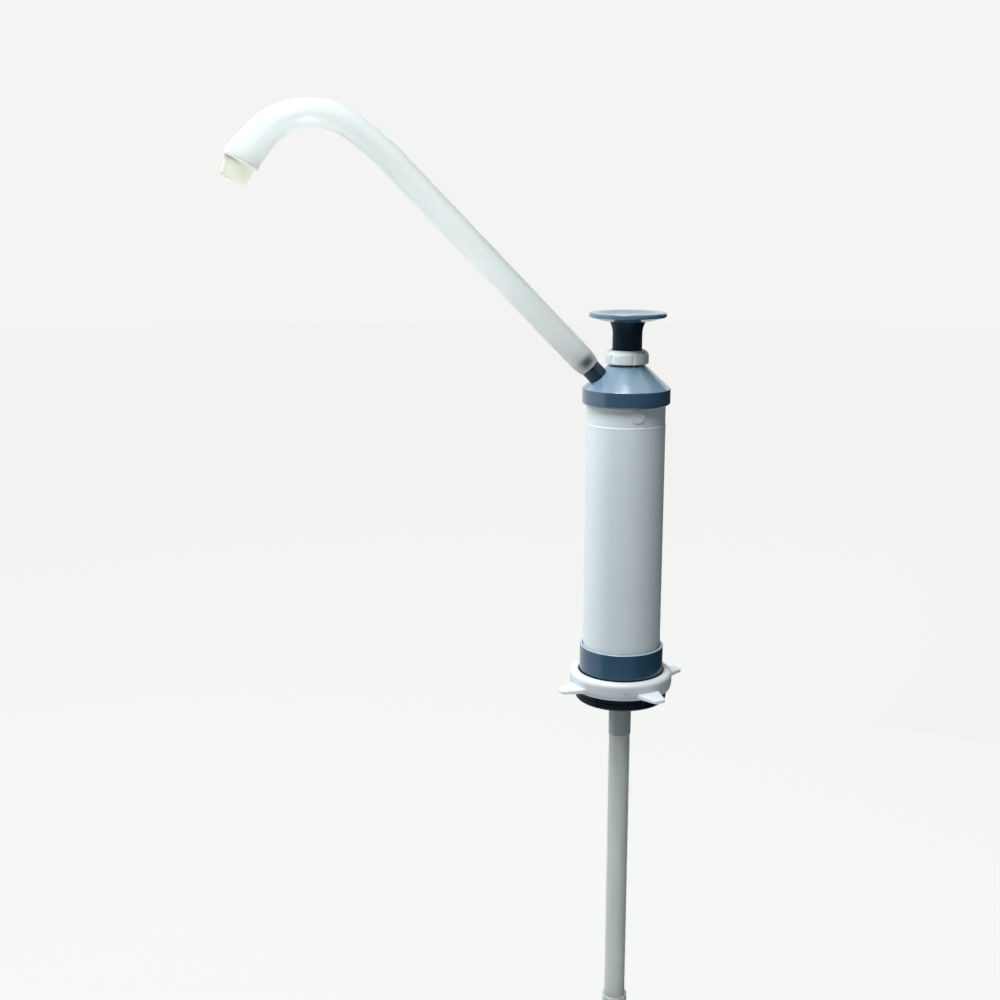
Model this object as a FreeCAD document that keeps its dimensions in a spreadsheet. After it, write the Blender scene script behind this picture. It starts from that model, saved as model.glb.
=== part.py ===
import FreeCAD, Part
import math
import os
import Sketcher

# Hand pump for a large water jug, in millimetres.
# The origin is the centre of the plane on which the lip of the jug's neck seats.
# +Z runs up the pump's axis, and the spout leaves the pump towards -X.
# The dip tube hangs down inside the jug, below the origin.

Vector = FreeCAD.Vector
Rotation = FreeCAD.Rotation
Placement = FreeCAD.Placement
UP = Vector(0, 0, 1)

# ---------------------------------------------------------------- driving dimensions

DIMENSIONS = {
    # clearances
    "running_clearance": 0.08,
    "slip_clearance": 0.05,
    "loose_clearance": 0.35,
    # neck clamp: gasket, collet and locking ring
    "neck_gasket_thickness": 1.6,
    "neck_gasket_inner_radius": 15.5,
    "neck_gasket_outer_radius": 25.3,
    "crown_radius": 27.5,
    "crown_clearance": 0.2,
    "hook_radius": 25.6,
    "hook_height": 2.6,
    "hook_lead_in": 1.6,
    "collet_flange": 1.6,
    "collet_radius": 31.0,
    "collet_step_height": 0.4,
    "collet_depth": 18.2,
    "collet_rounding": 3.2,
    "collet_turn": 41.0,
    "collet_slots": 6,
    "collet_slot_width": 1.4,
    "rib_pitch": 2.5,
    "rib_depth": 0.6,
    "rib_width": 0.9,
    "rib_count": 3,
    "ring_lip_clearance": 1.05,
    "ring_lip_height": 1.9,
    "ring_radius": 34.5,
    "ring_height": 11.4,
    "ring_top_rounding": 3.0,
    "ring_foot_taper": 0.7,
    "ring_foot_height": 3.0,
    "wing_count": 4,
    "wing_tip_radius": 48.2,
    "wing_root_width": 17.5,
    "wing_tip_width": 7.6,
    "wing_root_thickness": 3.4,
    "wing_tip_thickness": 2.4,
    "wing_level": 2.7,
    "wing_turn": 14.0,
    "wing_rounding": 0.8,
    "wing_tip_rounding": 2.8,
    # base collar
    "collar_radius": 28.15,
    "collar_wall": 1.55,
    "collar_height": 17.1,
    "collar_floor": 5.3,
    "collar_rim_rounding": 0.7,
    # barrel
    "barrel_radius": 26.05,
    "barrel_bore": 23.8,
    "barrel_length": 182.0,
    "barrel_foot_length": 6.0,
    "barrel_shoulder_drop": 13.0,
    "barrel_shoulder_step": 0.2,
    "barrel_gasket_thickness": 1.5,
    "pip_radius": 4.2,
    "pip_height": 0.2,
    "pip_drop": 5.0,
    "pip_angle": -92.0,
    # top cap
    "band_radius": 28.85,
    "band_height": 10.5,
    "band_overlap": 7.9,
    "band_wall": 2.4,
    "band_top_rounding": 0.8,
    "band_foot_rounding": 1.8,
    "cap_gasket_thickness": 1.6,
    "cone_height": 14.8,
    "cone_top_radius": 12.6,
    "cone_wall_upright": 3.24,
    "gland_neck_radius": 11.9,
    "gland_neck_height": 5.1,
    "guide_depth": 7.6,
    # gland nut and seal
    "nut_radius": 14.1,
    "nut_height": 9.0,
    "nut_gap": 1.3,
    "nut_top_thickness": 2.8,
    "nut_rounding": 4.0,
    "nut_foot_rounding": 0.6,
    "nut_flutes": 6,
    "nut_turn": 27.8,
    "flute_radius": 2.2,
    "flute_depth": 0.4,
    "nut_mouth_chamfer": 1.0,
    # plunger
    "stem_radius": 9.65,
    "stem_bore": 7.0,
    "stem_length": 62.3,
    "stem_plug": 14.0,
    "stem_flare_radius": 11.8,
    "stem_flare_height": 5.6,
    "stem_flare_rounding": 14.0,
    "stop_ring_radius": 11.0,
    "stop_ring_thickness": 2.0,
    "knob_radius": 25.1,
    "knob_height": 5.3,
    "knob_rim_thickness": 2.9,
    "knob_shoulder_radius": 16.5,
    "knob_dish_radius": 20.5,
    "knob_dish_depth": 1.5,
    "knob_dish_slope": 4.5,
    "knob_spigot_length": 12.0,
    "knob_rounding": 0.9,
    "stroke": 12.0,
    "landing_clearance": 1.0,
    # piston
    "piston_gap": 0.5,
    "piston_thickness": 6.0,
    "piston_boss_radius": 16.0,
    "piston_boss_height": 6.0,
    "port_count": 8,
    "port_radius": 1.9,
    "port_circle": 12.8,
    "cup_lip_clearance": 0.08,
    "cup_lip_drop": 3.0,
    "cup_lip_thickness": 1.2,
    "valve_radius": 16.4,
    "valve_thickness": 1.5,
    "valve_lift": 2.5,
    "valve_stop_radius": 13.5,
    "valve_stop_thickness": 1.2,
    "retainer_radius": 21.2,
    "retainer_thickness": 2.5,
    "screw_radius": 2.95,
    "screw_head_radius": 5.0,
    "screw_head_height": 4.0,
    "screw_length": 20.0,
    "screw_socket": 5.0,
    "screw_socket_depth": 2.4,
    # return spring
    "spring_radius": 17.6,
    "spring_wire_radius": 1.0,
    "spring_turns": 14.0,
    "spring_seat_thickness": 1.6,
    "spring_seat_inner_radius": 14.5,
    "spring_seat_outer_radius": 21.0,
    # foot valve
    "foot_plate_thickness": 4.5,
    "foot_port_radius": 5.0,
    "foot_lip_height": 0.8,
    "foot_lip_width": 1.5,
    "foot_disc_radius": 8.0,
    "foot_disc_thickness": 2.0,
    "foot_guide_radius": 2.0,
    "foot_guide_length": 5.0,
    "foot_lift": 3.5,
    "cage_radius": 11.5,
    "cage_bore": 9.5,
    "cage_top": 1.5,
    "cage_hole_radius": 3.5,
    "cage_windows": 4,
    "cage_window_width": 5.0,
    # outlet nozzle, spout and tip cap, along the nozzle's own axis
    "nozzle_tilt": 44.6,
    "nozzle_drop": 11.65,
    "nozzle_radius": 6.45,
    "nozzle_bore": 3.8,
    "nozzle_start": 21.5,
    "nozzle_length": 23.9,
    "nozzle_boss_radius": 8.2,
    "nozzle_boss_length": 3.6,
    "o_ring_radius": 0.88,
    "o_ring_back": 4.7,
    "spout_radius": 8.35,
    "spout_bore": 6.1,
    "spout_socket_depth": 8.6,
    "spout_foot_taper": 1.1,
    "spout_foot_length": 6.8,
    "spout_run": 179.6,
    "first_bend_radius": 155.0,
    "first_bend_angle": 11.9,
    "second_bend_radius": 41.1,
    "second_bend_angle": 40.9,
    "spout_tail": 11.2,
    "curl_radius": 30.0,
    "curl_angle": 14.0,
    "outlet_radius": 11.2,
    "outlet_bore": 9.1,
    "tip_cap_length": 12.3,
    "tip_cap_radius": 9.7,
    "tip_cap_end_radius": 8.1,
    "tip_cap_lip": 0.8,
    "tip_cap_rounding": 1.1,
    "tip_plug_length": 4.6,
    "tip_plug_taper": 0.64,
    "tip_plug_wall": 1.6,
    # inlet and dip tube
    "nipple_radius": 7.6,
    "nipple_bore": 5.0,
    "nipple_length": 44.3,
    "nipple_socket_depth": 20.0,
    "nipple_flange_width": 23.0,
    "nipple_flange_height": 3.0,
    "dip_tube_radius": 7.2,
    "dip_tube_bore": 5.6,
    "dip_tube_upper_length": 234.0,
    "dip_tube_lower_length": 212.0,
    "coupler_radius": 8.8,
    "coupler_length": 30.0,
    "coupler_stop": 2.0,
    "strainer_radius": 8.8,
    "strainer_length": 34.0,
    "strainer_grip": 14.0,
    "strainer_floor": 2.0,
    "strainer_slots": 6,
    "strainer_slot_width": 2.2,
    "strainer_slot_height": 12.0,
}

doc = FreeCAD.newDocument("HandPump")
sheet = doc.addObject("Spreadsheet::Sheet", "Sizes")
for row, (alias, number) in enumerate(DIMENSIONS.items(), start=1):
    sheet.set(f"A{row}", alias)
    sheet.set(f"B{row}", str(number))
    sheet.setAlias(f"B{row}", alias)
doc.recompute()


class Size:
    """A number with the spreadsheet formula that gives it, so that sums of sizes stay linked."""

    def __init__(self, number, formula):
        self.number = number
        self.formula = formula

    def joined(self, other, sign, number):
        return Size(number, f"({self.formula} {sign} {as_size(other).formula})")

    def __add__(self, other):
        return self.joined(other, "+", self.number + as_size(other).number)

    def __radd__(self, other):
        return as_size(other) + self

    def __sub__(self, other):
        return self.joined(other, "-", self.number - as_size(other).number)

    def __rsub__(self, other):
        return as_size(other) - self

    def __mul__(self, other):
        return self.joined(other, "*", self.number * as_size(other).number)

    def __truediv__(self, other):
        return self.joined(other, "/", self.number / as_size(other).number)

    def __neg__(self):
        return as_size(0) - self

    def __float__(self):
        return float(self.number)


def as_size(value):
    """Gives a plain number the same form as a size from the sheet."""
    if isinstance(value, Size):
        return value
    return Size(float(value), repr(float(value)))


def size(alias):
    """Reads one driving dimension from the sheet."""
    return Size(float(sheet.get(alias)), f"Sizes.{alias}")


def count(alias):
    """Reads how many copies a pattern has."""
    return int(round(float(sheet.get(alias))))


# ---------------------------------------------------------------- modelling helpers


def new_body(label, placement=Placement()):
    """Starts the body of one sub-part."""
    body = doc.addObject("PartDesign::Body", label)
    body.Label = label
    body.Placement = placement
    return body


def origin_feature(body, role):
    """Finds one of the body's own origin planes or axes."""
    for feature in body.Origin.OriginFeatures:
        if feature.Role == role:
            return feature
    raise ValueError(role)


def new_sketch(body, role, offset=Placement()):
    """Puts an empty sketch on one of the body's origin planes."""
    sketch = body.newObject("Sketcher::SketchObject", body.Label + "_sketch")
    sketch.AttachmentSupport = [(origin_feature(body, role), "")]
    sketch.MapMode = "FlatFace"
    sketch.AttachmentOffset = offset
    return sketch


def tie(sketch, constraint, value):
    """Adds a dimension to a sketch and binds it to the sheet."""
    index = sketch.addConstraint(constraint)
    sketch.setExpression(f"Constraints[{index}]", as_size(value).formula)


def place_point(sketch, geometry, end, across, along):
    """Fixes a point of a sketch at its two coordinates."""
    for kind, axis, value in (("DistanceX", -2, across), ("DistanceY", -1, along)):
        number = float(value)
        if number == 0:
            sketch.addConstraint(Sketcher.Constraint("PointOnObject", geometry, end, axis))
        else:
            tie(sketch, Sketcher.Constraint(kind, -1, 1, geometry, end, number), value)


def draw_outline(sketch, points):
    """Draws a closed outline of straight edges through the points."""
    corners = [Vector(float(x), float(y), 0) for x, y in points]
    first = sketch.GeometryCount
    total = len(points)
    for index in range(total):
        edge = Part.LineSegment(corners[index], corners[(index + 1) % total])
        sketch.addGeometry(edge, False)
    for index in range(total):
        here = first + index
        after = first + (index + 1) % total
        sketch.addConstraint(Sketcher.Constraint("Coincident", here, 2, after, 1))
    for index, (x, y) in enumerate(points):
        place_point(sketch, first + index, 1, x, y)


def draw_circle(sketch, x, y, radius):
    """Draws a circle with its centre at x, y."""
    centre = Vector(float(x), float(y), 0)
    circle = Part.Circle(centre, UP, float(radius))
    index = sketch.addGeometry(circle, False)
    place_point(sketch, index, 3, x, y)
    tie(sketch, Sketcher.Constraint("Radius", index, float(radius)), radius)


def settle(body, feature, grows=None):
    """Recomputes, makes the feature the body's tip and checks that it did its work."""
    before = feature.BaseFeature.Shape.Volume if feature.BaseFeature else 0.0
    body.Tip = feature
    doc.recompute()
    after = feature.Shape.Volume
    if grows is True and not after > before:
        raise ValueError(f"{body.Label}: {feature.Name} added nothing")
    if grows is False and not after < before:
        raise ValueError(f"{body.Label}: {feature.Name} cut nothing")
    return feature


def revolve(body, points):
    """Turns an outline of radius and height about the body's Z axis into a solid."""
    sketch = new_sketch(body, "XZ_Plane")
    draw_outline(sketch, points)
    feature = body.newObject("PartDesign::Revolution", body.Label + "_turned")
    feature.Profile = sketch
    feature.ReferenceAxis = (sketch, ["V_Axis"])
    feature.Angle = 360
    return settle(body, feature, grows=True)


def groove(body, points):
    """Turns an outline about the body's Z axis and cuts it away."""
    sketch = new_sketch(body, "XZ_Plane")
    draw_outline(sketch, points)
    feature = body.newObject("PartDesign::Groove", body.Label + "_groove")
    feature.Profile = sketch
    feature.ReferenceAxis = (sketch, ["V_Axis"])
    feature.Angle = 360
    return settle(body, feature, grows=False)


def extrude(body, kind, sketch, length):
    """Pads a sketch along its normal, or cuts a pocket that way."""
    feature = body.newObject("PartDesign::" + kind, body.Label + "_" + kind.lower())
    feature.Profile = sketch
    feature.Length = float(length)
    feature.setExpression("Length", as_size(length).formula)
    feature.Reversed = kind == "Pocket"
    return settle(body, feature, grows=kind == "Pad")


def raised(height):
    """An offset up the Z axis for a sketch on the XY plane."""
    return Placement(Vector(0, 0, float(height)), Rotation())


def cut_round(body, x, y, radius, low, high):
    """Cuts a round hole parallel to Z between two heights."""
    sketch = new_sketch(body, "XY_Plane", raised(low))
    draw_circle(sketch, x, y, radius)
    return extrude(body, "Pocket", sketch, high - low)


def cut_box(body, x_low, x_high, width, low, high):
    """Cuts a slot of the given width, centred on the X axis, between two heights."""
    sketch = new_sketch(body, "XY_Plane", raised(low))
    half = width / 2
    draw_outline(sketch, [(x_low, -half), (x_high, -half), (x_high, half), (x_low, half)])
    return extrude(body, "Pocket", sketch, high - low)


def cut_hexagon(body, across_flats, low, high):
    """Cuts a hexagonal socket on the Z axis between two heights."""
    sketch = new_sketch(body, "XY_Plane", raised(low))
    draw_outline(sketch, hexagon(across_flats))
    return extrude(body, "Pocket", sketch, high - low)


def hexagon(across_flats):
    """The corners of a hexagon on the Z axis."""
    corner = across_flats / 2 / math.cos(math.radians(30))
    turns = [math.radians(60 * index) for index in range(6)]
    return [(corner * math.cos(turn), corner * math.sin(turn)) for turn in turns]


def repeat(body, feature, copies):
    """Repeats a feature evenly about the body's Z axis."""
    pattern = body.newObject("PartDesign::PolarPattern", body.Label + "_pattern")
    pattern.Originals = [feature]
    pattern.Axis = (origin_feature(body, "Z_Axis"), [""])
    pattern.Angle = 360
    pattern.Occurrences = copies
    return settle(body, pattern)


def round_edges(body, radius, wanted, kind="Fillet"):
    """Rounds or chamfers the edges of the body's tip that pass the test."""
    tip = body.Tip
    names = [f"Edge{index}" for index, edge in enumerate(tip.Shape.Edges, 1) if wanted(edge)]
    if not names:
        raise ValueError(f"{body.Label}: no edge to round")
    feature = body.newObject("PartDesign::" + kind, body.Label + "_" + kind.lower())
    feature.Base = (tip, names)
    name = "Radius" if kind == "Fillet" else "Size"
    setattr(feature, name, float(radius))
    feature.setExpression(name, as_size(radius).formula)
    return settle(body, feature)


def rim(radius, height):
    """A test for the round edges about the Z axis at this radius and height."""

    def wanted(edge):
        if edge.Curve.TypeId != "Part::GeomCircle":
            return False
        centre = edge.Curve.Center
        on_axis = math.hypot(centre.x, centre.y) < 1e-4
        return (on_axis and abs(edge.Curve.Radius - float(radius)) < 1e-4
                and abs(centre.z - float(height)) < 1e-4)

    return wanted


def ring_outline(inner, outer, low, high):
    """The outline of a plain ring."""
    return [(inner, low), (outer, low), (outer, high), (inner, high)]


# ---------------------------------------------------------------- levels up the pump's axis

running = size("running_clearance")
slip = size("slip_clearance")
loose = size("loose_clearance")

lip_level = as_size(0)
flange_low = lip_level + size("neck_gasket_thickness")
collar_low = flange_low + size("collet_flange")
floor_top = collar_low + size("collar_floor")
collar_top = collar_low + size("collar_height")
barrel_low = floor_top + size("barrel_gasket_thickness")
barrel_top = barrel_low + size("barrel_length")
band_low = barrel_top - size("band_overlap")
band_top = band_low + size("band_height")
cap_ledge = barrel_top + size("cap_gasket_thickness")
cone_top = band_top + size("cone_height")
neck_top = cone_top + size("gland_neck_height")
guide_low = cone_top - size("guide_depth")
nut_low = cone_top + size("nut_gap")
nut_top = nut_low + size("nut_height")
stem_top = nut_top + size("stroke") + size("stem_flare_height") + size("landing_clearance")
stem_low = stem_top - size("stem_length")
piston_low = stem_low - size("piston_thickness")
boss_low = piston_low - size("piston_boss_height")
retainer_low = boss_low - size("retainer_thickness")
foot_top = floor_top + size("foot_plate_thickness")
spring_low = foot_top + size("spring_seat_thickness")
foot_disc_low = foot_top + size("foot_lip_height")
step_level = lip_level + size("collet_step_height")
collet_low = lip_level - size("collet_depth")
nipple_low = lip_level - size("nipple_length")
tube_top = nipple_low + size("nipple_socket_depth")
upper_tube_low = tube_top - size("dip_tube_upper_length")
lower_tube_top = upper_tube_low - size("coupler_stop")
lower_tube_low = lower_tube_top - size("dip_tube_lower_length")

barrel_bore = size("barrel_bore")
cup_bore = size("collar_radius") - size("collar_wall")
band_bore = size("band_radius") - size("band_wall")
stem_radius = size("stem_radius")
crown_bore = size("crown_radius") + size("crown_clearance")


# ---------------------------------------------------------------- neck clamp


def make_neck_gasket():
    """Flat rubber ring that seals on the lip of the jug's neck."""
    body = new_body("neck_gasket")
    inner = size("neck_gasket_inner_radius")
    outer = size("neck_gasket_outer_radius")
    revolve(body, ring_outline(inner, outer, lip_level, flange_low))
    return body


def make_neck_collet():
    """Slotted cup that drops over the neck's crown and hooks under it."""
    body = new_body("neck_collet", Placement(Vector(), Rotation(UP, float(size("collet_turn")))))
    outer = size("collet_radius")
    hook = size("hook_radius")
    hook_top = collet_low + size("hook_height")
    revolve(body, [
        (size("nipple_radius") + slip, flange_low),
        (crown_bore, flange_low),
        (crown_bore, hook_top + size("hook_lead_in")),
        (hook, hook_top),
        (hook, collet_low),
        (outer, collet_low),
        (outer, step_level),
        (size("collar_radius"), step_level),
        (size("collar_radius"), collar_low),
        (size("nipple_radius") + slip, collar_low),
    ])
    round_edges(body, size("collet_rounding"), rim(outer, collet_low))
    ring_low = step_level + size("ring_lip_height") - size("ring_height")
    for index in range(count("rib_count")):
        top = ring_low - size("rib_pitch") * index - size("rib_width")
        low = top - size("rib_width")
        inside = outer - size("rib_depth")
        groove(body, [(inside, low), (outer + 1, low), (outer + 1, top), (inside, top)])
    slot = cut_box(body, hook - 1, outer + 1, size("collet_slot_width"), collet_low - 1, lip_level)
    repeat(body, slot, count("collet_slots"))
    return body


def make_locking_ring():
    """Winged ring that screws down round the collet and squeezes it on the neck."""
    body = new_body("locking_ring", Placement(Vector(), Rotation(UP, float(size("wing_turn")))))
    outer = size("ring_radius")
    inner = size("collet_radius") + running
    lip_inner = size("collar_radius") + size("ring_lip_clearance")
    lip_low = step_level + slip * 2
    top = step_level + size("ring_lip_height") + slip * 2
    low = top - size("ring_height")
    revolve(body, [
        (inner, low),
        (outer - size("ring_foot_taper"), low),
        (outer, low + size("ring_foot_height")),
        (outer, top),
        (lip_inner, top),
        (lip_inner, lip_low),
        (inner, lip_low),
    ])
    round_edges(body, size("ring_top_rounding"), rim(outer, top))
    level = low + size("wing_level")
    root = inner + (outer - inner) / 3
    sections = (
        (root, size("wing_root_width"), size("wing_root_thickness")),
        (size("wing_tip_radius"), size("wing_tip_width"), size("wing_tip_thickness")),
    )
    sketches = []
    for reach, width, thickness in sections:
        standing = Placement(Vector(0, 0, float(reach)), Rotation())
        sketch = new_sketch(body, "YZ_Plane", standing)
        half = width / 2
        rise = thickness / 2
        draw_outline(sketch, [
            (-half, level - rise),
            (half, level - rise),
            (half, level + rise),
            (-half, level + rise),
        ])
        sketches.append(sketch)
    wing = body.newObject("PartDesign::AdditiveLoft", "wing")
    wing.Profile = sketches[0]
    wing.Sections = [sketches[1]]
    settle(body, wing, grows=True)
    repeat(body, wing, count("wing_count"))
    clear_of_ring = float(outer) + 1.0

    def reaches_out(edge):
        return max(math.hypot(vertex.X, vertex.Y) for vertex in edge.Vertexes) > clear_of_ring

    def tip_corner(edge):
        low_end, high_end = edge.Vertexes[0].Point, edge.Vertexes[-1].Point
        return reaches_out(edge) and abs(low_end.x - high_end.x) + abs(low_end.y - high_end.y) < 1e-6

    round_edges(body, size("wing_tip_rounding"), tip_corner)
    round_edges(body, size("wing_rounding"), reaches_out)
    return body


# ---------------------------------------------------------------- base and barrel


def make_base_collar():
    """Cup that carries the barrel on top of the collet."""
    body = new_body("base_collar")
    hole = size("nipple_radius") + slip
    outer = size("collar_radius")
    revolve(body, [
        (hole, collar_low),
        (outer, collar_low),
        (outer, collar_top),
        (cup_bore, collar_top),
        (cup_bore, floor_top),
        (hole, floor_top),
    ])
    round_edges(body, size("collar_rim_rounding"), rim(outer, collar_top))
    return body


def make_barrel_gasket():
    """Flat ring between the barrel's foot and the floor of the cup."""
    body = new_body("barrel_gasket")
    revolve(body, ring_outline(barrel_bore, cup_bore - slip, floor_top, barrel_low))
    return body


def make_barrel():
    """White cylinder, with its foot and its head thickened for their threads."""
    body = new_body("barrel")
    outer = size("barrel_radius")
    foot = cup_bore - slip
    foot_top_level = barrel_low + size("barrel_foot_length")
    shoulder = outer - size("barrel_shoulder_step")
    shoulder_level = band_low - size("barrel_shoulder_drop")
    head = band_bore - slip
    revolve(body, [
        (barrel_bore, barrel_low),
        (foot, barrel_low),
        (foot, foot_top_level),
        (outer, foot_top_level),
        (outer, shoulder_level),
        (shoulder, shoulder_level),
        (shoulder, band_low + slip),
        (head, band_low + slip * 4),
        (head, barrel_top),
        (barrel_bore, barrel_top),
    ])
    # moulded pip under the band, near the front
    middle = band_low - size("pip_drop")
    depth = (outer - barrel_bore) / 2
    reach = float(outer + size("pip_height"))
    facing = Rotation(UP, float(size("pip_angle")) + 90)
    outward = facing.multVec(Vector(0, -1, 0))
    standing = Placement(outward * reach, facing) * Placement(Vector(), Rotation(Vector(1, 0, 0), 90))
    sketch = new_sketch(body, "XY_Plane", standing)
    draw_circle(sketch, 0, middle, size("pip_radius"))
    pip = body.newObject("PartDesign::Pad", "pip")
    pip.Profile = sketch
    pip.Length = float(depth + size("pip_height"))
    pip.setExpression("Length", (depth + size("pip_height")).formula)
    pip.Reversed = True
    settle(body, pip, grows=True)
    return body


# ---------------------------------------------------------------- top cap and gland

tilt = float(size("nozzle_tilt"))
nozzle_root = band_top - size("nozzle_drop")
nozzle_frame = Placement(Vector(0, 0, float(nozzle_root)), Rotation(Vector(0, 1, 0), -tilt))


def make_top_cap():
    """Cone with a band that screws on the barrel, a neck for the stem and a boss for the nozzle."""
    body = new_body("top_cap")
    band = size("band_radius")
    crest = size("cone_top_radius")
    neck = size("gland_neck_radius")
    slope = size("cone_height") / (band - crest)
    inner_low = barrel_bore + slip
    inner_high = neck + size("loose_clearance")
    inner_top = band_top + slope * (band - inner_high) - size("cone_wall_upright")
    revolve(body, [
        (0, guide_low),
        (inner_high, guide_low),
        (inner_high, inner_top),
        (inner_low, cap_ledge),
        (band_bore, cap_ledge),
        (band_bore, band_low),
        (band, band_low),
        (band, band_top),
        (crest, cone_top),
        (neck, cone_top),
        (neck, neck_top),
        (0, neck_top),
    ])
    round_edges(body, size("band_foot_rounding"), rim(band, band_low))
    round_edges(body, size("band_top_rounding"), rim(band, band_top))
    start = size("nozzle_start")
    along = nozzle_frame * raised(start)
    sketch = new_sketch(body, "XY_Plane", along)
    draw_circle(sketch, 0, 0, size("nozzle_boss_radius"))
    extrude(body, "Pad", sketch, size("nozzle_boss_length"))
    cut_round(body, 0, 0, stem_radius + running, guide_low - band, neck_top + 1)
    sketch = new_sketch(body, "XY_Plane", nozzle_frame * raised(start - 1))
    draw_circle(sketch, 0, 0, size("nozzle_radius") + slip)
    extrude(body, "Pocket", sketch, size("nozzle_length"))
    return body


def make_cap_gasket():
    """Flat ring between the barrel's head and the ledge in the cap."""
    body = new_body("cap_gasket")
    revolve(body, ring_outline(barrel_bore + slip, band_bore - slip, barrel_top, cap_ledge))
    return body


def make_gland_nut():
    """Fluted nut that holds the stem seal down on the cap's neck."""
    body = new_body("gland_nut", Placement(Vector(), Rotation(UP, float(size("nut_turn")))))
    outer = size("nut_radius")
    inner = size("gland_neck_radius") + slip
    hole = stem_radius + loose
    under = nut_top - size("nut_top_thickness")
    revolve(body, [
        (inner, nut_low),
        (outer, nut_low),
        (outer, nut_top),
        (hole, nut_top),
        (hole, under),
        (inner, under),
    ])
    round_edges(body, size("nut_rounding"), rim(outer, nut_top))
    round_edges(body, size("nut_foot_rounding"), rim(outer, nut_low))
    round_edges(body, size("nut_mouth_chamfer"), rim(hole, nut_top), "Chamfer")
    radius = size("flute_radius")
    reach = outer + radius - size("flute_depth")
    flute = cut_round(body, reach, 0, radius, nut_low - 1, nut_top + 1)
    repeat(body, flute, count("nut_flutes"))
    return body


def make_gland_seal():
    """Rubber ring on the cap's neck that wipes the stem."""
    body = new_body("gland_seal")
    under = nut_top - size("nut_top_thickness")
    outer = size("gland_neck_radius")
    revolve(body, ring_outline(stem_radius + running / 2, outer, neck_top, under))
    return body


# ---------------------------------------------------------------- plunger


def make_stem():
    """Hollow stem with a flared head and a solid plug at its foot for the piston's screw."""
    body = new_body("stem")
    bore = size("stem_bore")
    flare = size("stem_flare_radius")
    flare_low = stem_top - size("stem_flare_height")
    revolve(body, [
        (size("screw_radius") + slip, stem_low),
        (stem_radius, stem_low),
        (stem_radius, flare_low),
        (flare, stem_top),
        (bore, stem_top),
        (bore, stem_low + size("stem_plug")),
        (size("screw_radius") + slip, stem_low + size("stem_plug")),
    ])
    round_edges(body, size("stem_flare_rounding"), rim(stem_radius, flare_low))
    return body


def make_knob():
    """Palm disc with a dished top and a spigot that presses into the stem."""
    body = new_body("knob")
    outer = size("knob_radius")
    rim_top = stem_top + size("knob_height")
    rim_low = rim_top - size("knob_rim_thickness")
    dish = size("knob_dish_radius")
    spigot = size("stem_bore") - slip
    spigot_low = stem_top - size("knob_spigot_length")
    revolve(body, [
        (0, spigot_low),
        (spigot, spigot_low),
        (spigot, stem_top),
        (size("knob_shoulder_radius"), stem_top),
        (outer, rim_low),
        (outer, rim_top),
        (dish, rim_top),
        (dish - size("knob_dish_slope"), rim_top - size("knob_dish_depth")),
        (0, rim_top - size("knob_dish_depth")),
    ])
    round_edges(body, size("knob_rounding"), rim(outer, rim_top))
    round_edges(body, size("knob_rounding"), rim(outer, rim_low))
    round_edges(body, size("knob_dish_depth") * 2, rim(dish, rim_top))
    return body


def make_stem_stop_ring():
    """Ring on the stem that meets the cap's guide at the top of the stroke."""
    body = new_body("stem_stop_ring")
    low = guide_low - size("stop_ring_thickness")
    revolve(body, ring_outline(stem_radius + slip, size("stop_ring_radius"), low, guide_low))
    return body


def cut_ports(body, low, high):
    """Cuts the ring of water ports through a piece of the piston."""
    port = cut_round(body, size("port_circle"), 0, size("port_radius"), low - 1, high + 1)
    repeat(body, port, count("port_count"))


def make_piston():
    """Ported disc on the foot of the stem."""
    body = new_body("piston")
    outer = barrel_bore - size("piston_gap")
    boss = size("piston_boss_radius")
    hole = size("screw_radius") + slip
    revolve(body, [
        (hole, boss_low),
        (boss, boss_low),
        (boss, piston_low),
        (outer, piston_low),
        (outer, stem_low),
        (hole, stem_low),
    ])
    cut_ports(body, boss_low, stem_low)
    return body


def make_piston_cup_seal():
    """Rubber cup whose lip wipes the barrel."""
    body = new_body("piston_cup_seal")
    inner = size("piston_boss_radius") + slip
    outer = barrel_bore - size("cup_lip_clearance")
    lip_inner = outer - size("cup_lip_thickness")
    tip = boss_low - size("cup_lip_drop")
    bevel = size("cup_lip_thickness") / 2
    revolve(body, [
        (inner, boss_low),
        (size("retainer_radius") + slip, boss_low),
        (lip_inner, tip),
        (outer - bevel, tip),
        (outer, tip + bevel * 2),
        (outer, piston_low - bevel * 2),
        (outer - bevel, piston_low),
        (inner, piston_low),
    ])
    return body


def make_piston_valve():
    """Rubber ring that rests on the piston and covers its ports."""
    body = new_body("piston_valve")
    inner = stem_radius + loose
    high = stem_low + size("valve_thickness")
    revolve(body, ring_outline(inner, size("valve_radius"), stem_low, high))
    return body


def make_valve_stop_ring():
    """Ring on the stem that limits the valve's lift."""
    body = new_body("valve_stop_ring")
    low = stem_low + size("valve_thickness") + size("valve_lift") + slip
    high = low + size("valve_stop_thickness")
    revolve(body, ring_outline(stem_radius + slip, size("valve_stop_radius"), low, high))
    return body


def make_piston_retainer():
    """Plate that holds the cup seal up and carries the top of the spring."""
    body = new_body("piston_retainer")
    hole = size("screw_radius") + slip
    revolve(body, ring_outline(hole, size("retainer_radius"), retainer_low, boss_low))
    cut_ports(body, retainer_low, boss_low)
    return body


def make_piston_screw():
    """Socket screw that clamps the piston stack to the stem."""
    body = new_body("piston_screw")
    head = size("screw_head_radius")
    shank = size("screw_radius")
    head_low = retainer_low - size("screw_head_height")
    revolve(body, [
        (0, head_low),
        (head, head_low),
        (head, retainer_low),
        (shank, retainer_low),
        (shank, retainer_low + size("screw_length")),
        (0, retainer_low + size("screw_length")),
    ])
    cut_hexagon(body, size("screw_socket"), head_low - 1, head_low + size("screw_socket_depth"))
    return body


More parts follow.
